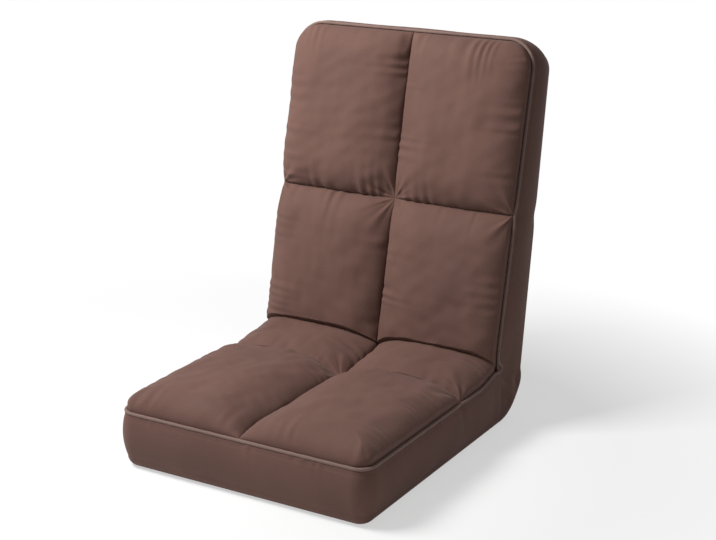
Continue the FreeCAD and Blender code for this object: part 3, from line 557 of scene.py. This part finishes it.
def stuffed_height(half, x, y, from_edge, near):
    """Height of a smooth stuffed pad above its piping line."""
    start, end = pad_span(half, near)
    height = rise(from_edge, **EDGE_RISE) * rise(x, **MIDDLE_RISE)
    height = height * rise(np.abs(y - half.crease), floor=cross_depth(half, x), **CROSS_RISE)
    if near:
        height = height * rise(y - start, **FOLD_RISE)
    across = ((x - PAD_EDGE / 2) / (PAD_EDGE / 2)) ** 2
    lengthwise = ((y - (start + end) / 2) / ((end - start) / 2)) ** 2
    even = CROWN_EVEN + (1 - CROWN_EVEN) * (1 - across) * (1 - lengthwise)
    return half.crown * height * even


def gathers(along, distance, seed, pitch, height, reach):
    """Small folds that run off a seam and die away from it."""
    line = np.stack([along, 0 * along], -1)
    wander = 2.2 * waves(line, 90.0, seed)
    strength = np.clip(0.35 + 0.65 * waves(line, 70.0, seed + 1), 0.0, 1.6)
    ripple = np.cos(2 * math.pi * along / pitch + wander)
    return height * strength * ripple * np.exp(-distance / reach)


def star(x, y, at, folds, height, reach, phase):
    """Pleats that run out from a sewn point."""
    dx, dy = x - at[0], y - at[1]
    radius = np.hypot(dx, dy)
    angle = np.arctan2(dy, dx)
    ripple = np.cos(folds * angle + phase) + 0.5 * np.cos((folds * 2 - 1) * angle + 2.3 * phase)
    return height * ripple * (radius / (radius + 6.0)) * np.exp(-radius / reach)


def creased_height(half, side, x, y, from_edge, along, smooth, seed):
    """The smooth height with its slack, gathers and pleats, drawn down at the middle stitch."""
    middle, side_end = (0.0, half.crease), (PAD_EDGE, half.crease)
    from_cross = np.abs(y - half.crease)
    off_edge = from_edge / (from_edge + 6.0)
    flat = np.stack([x * side, y], -1)
    folds = 0.9 * waves(flat, 95.0, seed) + 0.35 * waves(flat, 34.0, seed + 3)
    folds += off_edge * gathers(along * side, from_edge, seed + 5, **EDGE_FOLDS)
    folds += gathers(y, x, seed + 7, **MIDDLE_FOLDS)
    folds += gathers(x * side, from_cross, seed + 9, height=half.cross_fold, **CROSS_FOLDS)
    folds += star(x, y, middle, folds=9, height=half.middle_pleat, reach=32.0, phase=seed)
    folds += star(x, y, side_end, folds=7, height=3.4, reach=34.0, phase=seed + 1.3)
    height = smooth + ramp_up(smooth, LOOSE_HEIGHT) * folds
    stitched = bell(np.hypot(x, y - half.crease), STITCH_REACH)
    return np.maximum(height * (1.0 - STITCH_DEPTH * stitched), LEAST_HEIGHT)


def press_in_fold(points):
    """Slides points that pass the fold's middle plane back along the half until they touch it."""
    limit = (points[..., 2] - HINGE_HEIGHT) / math.tan(FOLD_HALF) + FOLD_GAP
    pressed = points.copy()
    pressed[..., 1] += np.maximum(limit - points[..., 1], 0.0)
    return pressed


def border_places(rows, columns):
    """Rows and columns of the points round a grid, in order."""
    places = [(0, j) for j in range(columns)]
    places += [(i, columns - 1) for i in range(1, rows)]
    places += [(rows - 1, j) for j in range(columns - 2, -1, -1)]
    places += [(i, 0) for i in range(rows - 2, 0, -1)]
    return places


def closed_pad(half, top, loose_top):
    """Points and faces of a pad: its top, a skirt under its border, and a fan across the skirt."""
    rows, columns = top.shape[:2]
    border = border_places(rows, columns)
    skirt = np.array([loose_top[i, j] for i, j in border])
    skirt[:, 2] = half.rim(skirt[:, 1]) - SKIRT_DEPTH
    points = np.concatenate([top.reshape(-1, 3), skirt, skirt.mean(0)[None, :]])
    faces = grid_faces(rows, columns)
    start, count = rows * columns, len(border)
    edge = [i * columns + j for i, j in border]
    for k in range(count):
        n = (k + 1) % count
        faces.append((edge[k], start + k, start + n, edge[n]))
        faces.append((start + k, start + count, start + n))
    return points, faces


def side_word(side):
    return "right" if side > 0 else "left"


def pad_node(half, side, near):
    """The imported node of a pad."""
    near_row, far_row = {"seat": ("rear", "front"), "back": ("lower", "upper")}[half.body]
    return "_".join([half.body, "pad", near_row if near else far_row, side_word(side)])


def pad(half, side, near, seed):
    """One stuffed pad; side is -1 or 1, and near is the row beside the fold."""
    x, y = pad_plan(half, near)
    from_edge, along = edge_distance(half, x, y, near)
    smooth = stuffed_height(half, x, y, from_edge, near)
    height = creased_height(half, side, x, y, from_edge, along, smooth, seed)
    lean = LEAN * np.exp(-from_edge / LEAN_REACH) * ramp_up(smooth - LEAN_HEIGHT, LOOSE_HEIGHT)
    loose_top = np.stack([(x + lean) * side, y, half.rim(y) + height], -1)
    top = press_in_fold(loose_top) if near else loose_top
    points, faces = closed_pad(half, top, loose_top)
    node = pad_node(half, side, near)
    piece = outward(new_mesh(node + "_cushion", half.place(points), faces))
    dress(piece, "cover_cloth")
    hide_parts(node)
    if near:
        across_fold(piece)
    else:
        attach(piece, half.body)


# Gussets and outer panels, in millimetres

BAND_ROWS = 34
BAND_FOLDS = {"pitch": 23.0, "height": 0.8, "reach": 10.0}
BELLY_AT_FOLD = 1.5
BELLY_BEYOND = 6.0
BELLY_MOST = 8.5
BAND_SEAM = 8.0
BAND_HELD = 5.0
SEAM_PULL_IN = 3.0
SEAM_PULL_DOWN = 2.0
GROOVE_WIDTH = 17.0
GROOVE_SHIFT = 6.0
GROOVE_FADE = 45.0
PANEL_SLACK = 1.6


def plan_path(half, count, start=0.0):
    """Points, outward directions and distances round a half, from the fold at +X to that at -X."""
    corner = half.corner
    side = half.length - corner - start
    bow = corner * math.pi / 2
    total = 2 * side + 2 * bow + 2 * (HALF_WIDTH - corner)
    places = np.linspace(0.0, total, count)
    points, outs = [], []
    for place in places:
        sign = -1.0 if place > total / 2 else 1.0
        run = min(place, total - place)
        if run < side:
            point, out = (HALF_WIDTH, start + run), (1.0, 0.0)
        elif run < side + bow:
            turn = (run - side) / corner
            out = (math.cos(turn), math.sin(turn))
            point = (HALF_WIDTH - corner + corner * out[0], half.length - corner + corner * out[1])
        else:
            point, out = (HALF_WIDTH - corner - (run - side - bow), half.length), (0.0, 1.0)
        points.append((point[0] * sign, point[1]))
        outs.append((out[0] * sign, out[1]))
    return np.array(points), np.array(outs), places


def tapered(half, points, draw=14.0, reach=90.0):
    """Draws the back's top end in towards its rear face."""
    if half is SEAT:
        return points
    drawn = points.copy()
    along = np.clip((points[..., 1] - half.length + reach) / reach, 0.0, 1.1) ** 2
    drawn[..., 1] -= draw * along * np.clip(1.0 - points[..., 2] / half.rim_high, 0.0, 1.0)
    return drawn


def notch(half, y):
    """How strongly the cross seam pulls on the edge, from 0 to 1."""
    return bell(y - half.crease, 12.0)


def rear_groove(half, y):
    """Depth of the groove that the cross seam pulls into the outer face."""
    return half.groove * bell(y - half.crease + GROOVE_SHIFT, GROOVE_WIDTH)


def fold_drop(half, y):
    """How far the top of the gusset dips under the piping where it turns in the fold."""
    return half.fold_drop * np.clip(1.0 - y / 30.0, 0.0, 1.0) ** 2


def gusset_rows(top):
    """Insets and heights of the band's rows, down from its top and round its outer edge."""
    rows = []
    for share in np.linspace(0.0, 1.0, BAND_ROWS):
        z = EDGE_ROUND + (top - EDGE_ROUND) * (1.0 - share)
        rows.append((0.0, z))
    for angle in np.linspace(0, math.pi / 2, ROUND_STEPS)[1:]:
        z = np.full_like(top, EDGE_ROUND * (1 - math.sin(angle)))
        rows.append((EDGE_ROUND * (1 - math.cos(angle)), z))
    return rows


def band_push(path, along, top, z, level, seed):
    """How far the straight part of a gusset stands out: belly, slack, gathers and seam line."""
    beyond_fold = ramp_up(path[:, 1] - 25.0, 70.0)
    belly = (BELLY_AT_FOLD + BELLY_BEYOND * beyond_fold) * np.sin(math.pi * level) ** 0.8
    sample = np.stack([along, z], -1)
    slack = 0.7 * waves(sample, 120.0, seed) * np.sin(math.pi * np.clip(z / top, 0, 1))
    under = top - z
    folds = gathers(along, under, seed + 2, **BAND_FOLDS) * (under > 1.0)
    seam = -0.9 * bell(under - BAND_SEAM, 1.6)
    push = (belly + slack + folds + seam) * ramp_up(under, BAND_HELD)
    return np.minimum(push, BELLY_MOST)


def gusset(half, seed):
    """The band of cloth round a half, rolled under at its outer edge."""
    path, outs, along = plan_path(half, 600)
    y = path[:, 1]
    top = half.rim(y) - 1.0 - fold_drop(half, y)
    pull = notch(half, y) * np.abs(outs[:, 0])
    grid = []
    for inset, z in gusset_rows(top):
        level = np.clip((z - EDGE_ROUND) / (top - EDGE_ROUND), 0.0, 1.0)
        push = -inset if inset > 0 else band_push(path, along, top, z, level, seed)
        push = push - SEAM_PULL_IN * pull * level ** 2
        sunk = rear_groove(half, y) * (1.0 - ramp_up(z, GROOVE_FADE))
        sunk = sunk - SEAM_PULL_DOWN * pull * level ** 2
        grid.append(np.stack([path[:, 0] + outs[:, 0] * push, y + outs[:, 1] * push, z + sunk], -1))
    node = half.body + "_gusset"
    piece = grid_piece(node + "_band", half.place(tapered(half, np.array(grid))))
    thicken(piece, CLOTH)
    dress(piece, "cover_cloth")
    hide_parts(node)
    across_fold(piece)


def outer_panel(half, slot, seed):
    """The flat cloth of a half's outer face, held by the gusset all round."""
    rows, columns = 90, 80
    wide, far = HALF_WIDTH - EDGE_ROUND, half.length - EDGE_ROUND
    corner = half.corner - EDGE_ROUND
    y = np.linspace(0.0, far, rows)[:, None] + np.zeros((1, columns))
    past = np.clip(y - (far - corner), 0.0, corner)
    limit = wide - corner + np.sqrt(np.maximum(corner ** 2 - past ** 2, 0.0))
    x = limit * np.linspace(-1.0, 1.0, columns)[None, :]
    edge = np.minimum(np.minimum(limit - np.abs(x), far - y), y)
    slack = 0.5 * (1 + waves(np.stack([x, y], -1), 80.0, seed)) * ramp_up(edge, 25.0)
    z = np.clip(slack, 0.0, PANEL_SLACK) + rear_groove(half, y)
    node = half.body + "_outer_panel"
    piece = grid_piece(node + "_cloth", half.place(tapered(half, np.stack([x, y, z], -1))))
    thicken(piece, PANEL_CLOTH, half.place([0.0, far / 2, half.rim_low / 2]))
    dress(piece, slot)
    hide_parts(node)
    across_fold(piece)


# Heel and side bridges, in millimetres

HEEL_RIBS = 60
HEEL_SLACK = 7.0
SLACK_HEIGHT = 64.0
SLACK_WIDTH = 24.0
BRIDGE_DENT = 4.0
BRIDGE_MOST = 2.0


def heel_line():
    """Outer line of the heel at rest, from the seat's underside to the rear panel, as (y, z)."""
    lean = math.radians(BACK_LEAN)
    upper = np.array([HINGE_HEIGHT * math.cos(lean), HINGE_HEIGHT - HINGE_HEIGHT * math.sin(lean)])
    corner = np.array([upper[0] - upper[1] * math.tan(lean), 0.0])
    first = corner - np.array([HEEL_RADIUS / math.tan(FOLD_HALF), 0.0])
    centre = first + np.array([0.0, HEEL_RADIUS])
    line = [np.array([0.0, 0.0]), first * 0.5]
    for angle in np.linspace(0.0, math.pi - 2 * FOLD_HALF, 40):
        line.append(centre + HEEL_RADIUS * np.array([math.sin(angle), -math.cos(angle)]))
    line += [(line[-1] + upper) / 2, upper]
    made, _ = along_line(np.array(line), HEEL_RIBS)
    slack = HEEL_SLACK * bell(made[:, 1] - SLACK_HEIGHT, SLACK_WIDTH)
    slack = slack * ramp_up(upper[1] - made[:, 1], 12.0)
    out = made - np.array([0.0, HINGE_HEIGHT])
    return made + out / np.linalg.norm(out, axis=1)[:, None] * slack[:, None]


def heel_rib(y, z, sign):
    """Points of one rib from the hinge axis out along the side and round its edge."""
    hub = np.array([0.0, HINGE_HEIGHT])
    out = np.array([y, z]) - hub
    reach = np.linalg.norm(out)
    unit = out / reach
    points = []
    for distance in np.linspace(0.0, reach - EDGE_ROUND, 40):
        point = hub + unit * distance
        points.append((sign * HALF_WIDTH, point[0], point[1]))
    for angle in np.linspace(0.0, math.pi / 2, ROUND_STEPS)[1:]:
        inset = EDGE_ROUND * (1 - math.cos(angle))
        point = hub + unit * (reach - EDGE_ROUND + EDGE_ROUND * math.sin(angle))
        points.append((sign * (HALF_WIDTH - inset), point[0], point[1]))
    return points


def side_bridge(sign, seed):
    """The cloth beside the hinge, from its axis out to the heel, creased down its middle."""
    grid = np.array([heel_rib(y, z, sign) for y, z in heel_line()])
    radius = np.hypot(grid[..., 1], grid[..., 2] - HINGE_HEIGHT)
    angle = np.arctan2(grid[..., 2] - HINGE_HEIGHT, grid[..., 1])
    across = radius * np.sin(angle + math.pi / 2 - FOLD_HALF)
    dent = -BRIDGE_DENT * bell(across, 7.0) * np.exp(-radius / 90.0)
    roll = 1.6 * np.cos(across / 9.0) * np.exp(-np.abs(across) / 30.0)
    push = dent + roll + 0.8 * waves(grid[..., 1:], 50.0, seed)
    push = push * ramp_up(104.0 - radius, 25.0) * ramp_up(radius, 15.0) * held_ends(HEEL_RIBS, 8.0)
    grid[..., 0] += sign * np.minimum(push, BRIDGE_MOST)
    grid[..., 1] += HINGE_Y
    node = "side_bridge_" + side_word(sign)
    piece = grid_piece(node + "_cloth", grid / 1000.0)
    thicken(piece, CLOTH)
    dress(piece, "cover_cloth")
    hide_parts(node)
    across_fold(piece)


def heel_wrap(seed):
    """The rounded cover of the outer corner."""
    line = heel_line()
    wide = HALF_WIDTH - EDGE_ROUND
    x = np.linspace(-1.0, 1.0, 150)[None, :] * wide + np.zeros((HEEL_RIBS, 1))
    y = line[:, :1] + 0 * x
    z = line[:, 1:] + 0 * x
    hub = np.stack([y, z - HINGE_HEIGHT], -1)
    unit = hub / np.linalg.norm(hub, axis=-1, keepdims=True)
    slack = 1.3 * waves(np.stack([x * 0.35, y, z], -1), 45.0, seed)
    push = slack * held_ends(HEEL_RIBS, 6.0) * ramp_up(wide - np.abs(x), 12.0) * ramp_up(z, 20.0)
    y = y + unit[..., 0] * push
    z = np.maximum(z + unit[..., 1] * push, 0.0)
    piece = grid_piece("heel_wrap_cloth", np.stack([x, y + HINGE_Y, z], -1) / 1000.0)
    thicken(piece, CLOTH)
    dress(piece, "cover_cloth")
    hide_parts("heel_wrap")
    across_fold(piece)


# Piping, in millimetres

CORD_STEP = 3.0
CORD_SIDES = 14


def cord_rings(points, places, seed):
    """Rings of a slightly uneven cord along evenly spaced points, without twist."""
    tangents = np.gradient(points, axis=0)
    tangents /= np.linalg.norm(tangents, axis=1)[:, None]
    side = np.cross(tangents[0], [0.3, 0.2, 1.0])
    turns = np.arange(CORD_SIDES) * 2 * math.pi / CORD_SIDES
    radii = PIPING_RADIUS * (1.0 + 0.035 * waves(places[:, None], 26.0, seed))
    rings = []
    for point, tangent, radius in zip(points, tangents, radii):
        side = side - tangent * (side @ tangent)
        side /= np.linalg.norm(side)
        up = np.cross(tangent, side)
        rings.append(point + radius * (np.outer(np.cos(turns), side) + np.outer(np.sin(turns), up)))
    return np.array(rings)


def cord(line, seed):
    """Points and faces of a corded edge along a line of points in millimetres."""
    length = np.sum(np.linalg.norm(np.diff(line, axis=0), axis=1))
    points, places = along_line(line, max(20, int(length / CORD_STEP)))
    rings = cord_rings(points, places, seed)
    count, ring = rings.shape[:2]
    faces = grid_faces(count, ring, close=True)
    faces.append(tuple(range(ring)))
    faces.append(tuple(range(count * ring - ring, count * ring)))
    return rings.reshape(-1, 3), faces


def smooth_path(points, steps):
    """A Catmull-Rom curve through points, in a number of steps between each two."""
    points = np.asarray(points, float)
    held = np.vstack([2 * points[0] - points[1], points, 2 * points[-1] - points[-2]])
    made = []
    for i in range(1, len(held) - 2):
        a, b, c, d = held[i - 1:i + 3]
        for t in np.linspace(0, 1, steps, endpoint=False):
            bend = (2 * a - 5 * b + 4 * c - d) * t ** 2 + (3 * b - a - 3 * c + d) * t ** 3
            made.append(0.5 * (2 * b + (c - a) * t + bend))
    made.append(points[-1])
    return np.array(made)


def piping(half, seed):
    """The corded edge round a half, up to the bridging cloth at both sides."""
    path, outs, _ = plan_path(half, 800, BRIDGE_RADIUS)
    y = path[:, 1] - PIPING_DRAW * ramp_up(path[:, 1] - (half.length - half.corner), half.corner)
    pinch = notch(half, y) * np.abs(outs[:, 0])
    x = path[:, 0] - SEAM_PULL_IN * pinch * np.sign(path[:, 0])
    z = half.rim(y) - SEAM_PULL_DOWN * pinch
    points, faces = cord(np.stack([x, y, z], -1), seed)
    piece = outward(new_mesh(half.body + "_piping_cord", half.place(points), faces))
    dress(piece, "piping_cloth")
    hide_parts(half.body + "_piping")
    across_fold(piece)


def piping_tuck(sign, seed):
    """The corded edge where it turns in the fold, seen from the side."""
    turn = 7.0
    fold_y, fold_z = -1.0, HINGE_HEIGHT + 2 * turn
    _, back_y, back_z = BACK.place([0.0, BRIDGE_RADIUS, BACK.rim(BRIDGE_RADIUS)]) * 1000.0
    route = [
        (-BRIDGE_RADIUS, SEAT.rim(BRIDGE_RADIUS)),
        (fold_y - 3 * turn, fold_z - turn + 1.0),
        (fold_y, fold_z - turn),
        (fold_y + turn, fold_z),
        (fold_y, fold_z + turn),
        (fold_y - turn - 1.0, fold_z + 2.5 * turn),
        (back_y - HINGE_Y, back_z),
    ]
    line = smooth_path([(sign * HALF_WIDTH, y + HINGE_Y, z) for y, z in route], 12)
    points, faces = cord(line, seed)
    node = "piping_tuck_" + side_word(sign)
    piece = outward(new_mesh(node + "_cord", points / 1000.0, faces))
    dress(piece, "piping_cloth")
    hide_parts(node)
    across_fold(piece)


# Foam inside

def foam_copy(node):
    """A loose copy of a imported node, with even faces."""
    source = frame["nodes"][node]
    piece = source.copy()
    piece.data = source.data.copy()
    for key in list(piece.keys()):
        del piece[key]
    piece.parent = None
    piece.name = node + "_block"
    bpy.context.collection.objects.link(piece)
    remesh = piece.modifiers.new("remesh", "REMESH")
    remesh.mode = "VOXEL"
    remesh.voxel_size = 0.007
    apply_modifiers(piece)
    return piece


def under_groove(points):
    """The back's foam drawn in at its top end and pressed in under the groove of the rear panel."""
    flat = tapered(BACK, back_flat(points))
    pressed = 1.0 - ramp_up(flat[:, 2] - 6.0, GROOVE_FADE)
    flat[:, 2] += 1.15 * rear_groove(BACK, flat[:, 1]) * pressed
    return BACK.place(flat)


def foam_piece(node, slack=0.003):
    """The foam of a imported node, a little slack inside its cloth."""
    piece = foam_copy(node)
    normals = np.array([v.normal for v in piece.data.vertices])
    points = np.array([v.co for v in piece.data.vertices]) - normals * slack
    if node.startswith("back"):
        points = under_groove(points)
    piece.data.vertices.foreach_set("co", points.astype(np.float32).ravel())
    dress(piece, "foam")
    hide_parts(node)
    if node == "heel_foam":
        across_fold(piece)
    else:
        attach(piece, node.split("_")[0])


# Stage

def background_rays(tree):
    """1 for the rays that show the plain background: seen directly, reflected or through glass."""
    rays = tree.nodes.new("ShaderNodeLightPath")
    both = add_node(tree, "ShaderNodeMath", operation="MAXIMUM")
    tree.links.new(rays.outputs["Is Camera Ray"], both.inputs[0])
    tree.links.new(rays.outputs["Is Glossy Ray"], both.inputs[1])
    every = add_node(tree, "ShaderNodeMath", operation="MAXIMUM")
    tree.links.new(both.outputs[0], every.inputs[0])
    tree.links.new(rays.outputs["Is Transmission Ray"], every.inputs[1])
    return every.outputs[0]


def mixed(tree, share, plain, white, output):
    """Shows white instead of plain by a share, at an output."""
    mix = tree.nodes.new("ShaderNodeMixShader")
    tree.links.new(share, mix.inputs["Fac"])
    tree.links.new(plain.outputs[0], mix.inputs[1])
    tree.links.new(white.outputs[0], mix.inputs[2])
    tree.links.new(mix.outputs[0], output.inputs["Surface"])


def white_floor():
    """A pale floor that keeps the shadow near the chair and fades to plain white away from it."""
    made, tree, shader = material("floor_look", grey(0.9), 0.9)
    shader.inputs["Specular IOR Level"].default_value = 0.1
    away = add_node(tree, "ShaderNodeVectorMath", operation="LENGTH")
    tree.links.new(object_coordinates(tree), away.inputs[0])
    fade = add_node(tree, "ShaderNodeMapRange")
    fade.inputs["From Min"].default_value = 0.55
    fade.inputs["From Max"].default_value = 1.1
    fade.inputs["To Min"].default_value = 0.55
    tree.links.new(away.outputs["Value"], fade.inputs["Value"])
    share = add_node(tree, "ShaderNodeMath", operation="MULTIPLY")
    tree.links.new(background_rays(tree), share.inputs[0])
    tree.links.new(fade.outputs["Result"], share.inputs[1])
    white = add_node(tree, "ShaderNodeEmission", Color=(1.0, 1.0, 1.0, 1.0), Strength=1.0)
    mixed(tree, share.outputs[0], shader, white, tree.nodes["Material Output"])
    return made


def floor(half_size=9.0):
    corners = [(-half_size, -half_size, 0), (half_size, -half_size, 0),
               (half_size, half_size, 0), (-half_size, half_size, 0)]
    piece = new_mesh("floor", corners, [(0, 1, 2, 3)], smooth=False)
    piece.data.materials.append(white_floor())


def studio_world():
    """Soft even light all round, in front of a plain white background."""
    world = bpy.data.worlds.new("studio")
    bpy.context.scene.world = world
    world.use_nodes = True
    tree = world.node_tree
    tree.nodes.clear()
    soft = add_node(tree, "ShaderNodeBackground", Color=(1.0, 1.0, 1.0, 1.0), Strength=0.21)
    white = add_node(tree, "ShaderNodeBackground", Color=(1.0, 1.0, 1.0, 1.0), Strength=1.0)
    mixed(tree, background_rays(tree), soft, white, tree.nodes.new("ShaderNodeOutputWorld"))


def lamp(name, place, target, size, power):
    data = bpy.data.lights.new(name, "AREA")
    data.size = size
    data.energy = power
    light = bpy.data.objects.new(name, data)
    bpy.context.collection.objects.link(light)
    light.location = place
    light.rotation_euler = (Vector(target) - Vector(place)).to_track_quat("-Z", "Y").to_euler()


def camera(place, azimuth, elevation, roll, lens):
    """A camera that looks down at an elevation, from an azimuth right of the chair's front."""
    azimuth, elevation, roll = math.radians(azimuth), math.radians(elevation), math.radians(roll)
    level = math.cos(elevation)
    back = Vector((math.sin(azimuth) * level, -math.cos(azimuth) * level, math.sin(elevation)))
    right = Vector((math.cos(azimuth), math.sin(azimuth), 0.0))
    up = back.cross(right)
    tilted = math.cos(roll) * right + math.sin(roll) * up
    upright = math.cos(roll) * up - math.sin(roll) * right
    data = bpy.data.cameras.new("photo_camera")
    data.lens = lens
    data.sensor_width = 36.0
    made = bpy.data.objects.new("photo_camera", data)
    bpy.context.collection.objects.link(made)
    matrix = Matrix((tilted, upright, back)).transposed().to_4x4()
    matrix.translation = Vector(place)
    made.matrix_world = matrix
    bpy.context.scene.camera = made


def stage():
    bpy.context.scene.view_settings.view_transform = "Standard"
    studio_world()
    floor()
    lamp("key", (-0.85, -0.65, 1.7), target=(0.0, 0.5, 0.6), size=0.7, power=48.0)
    camera((1.4438, -2.27916, 1.1921), azimuth=30.78, elevation=17.63, roll=-0.16, lens=80.45)


def build():
    dress_frame_nodes()
    seed = 11
    for half in (SEAT, BACK):
        for near in (True, False):
            for side in (-1, 1):
                pad(half, side, near, seed)
                seed += 17
        gusset(half, seed)
        piping(half, seed + 5)
    outer_panel(SEAT, "base_cloth", 401)
    outer_panel(BACK, "cover_cloth", 402)
    heel_wrap(403)
    for sign in (-1, 1):
        side_bridge(sign, 410 + sign)
        piping_tuck(sign, 420 + sign)
    for body in ("seat", "back"):
        for layer in ("lower", "border", "upper"):
            foam_piece(body + "_foam_" + layer)
    foam_piece("heel_foam")
    stage()


build()
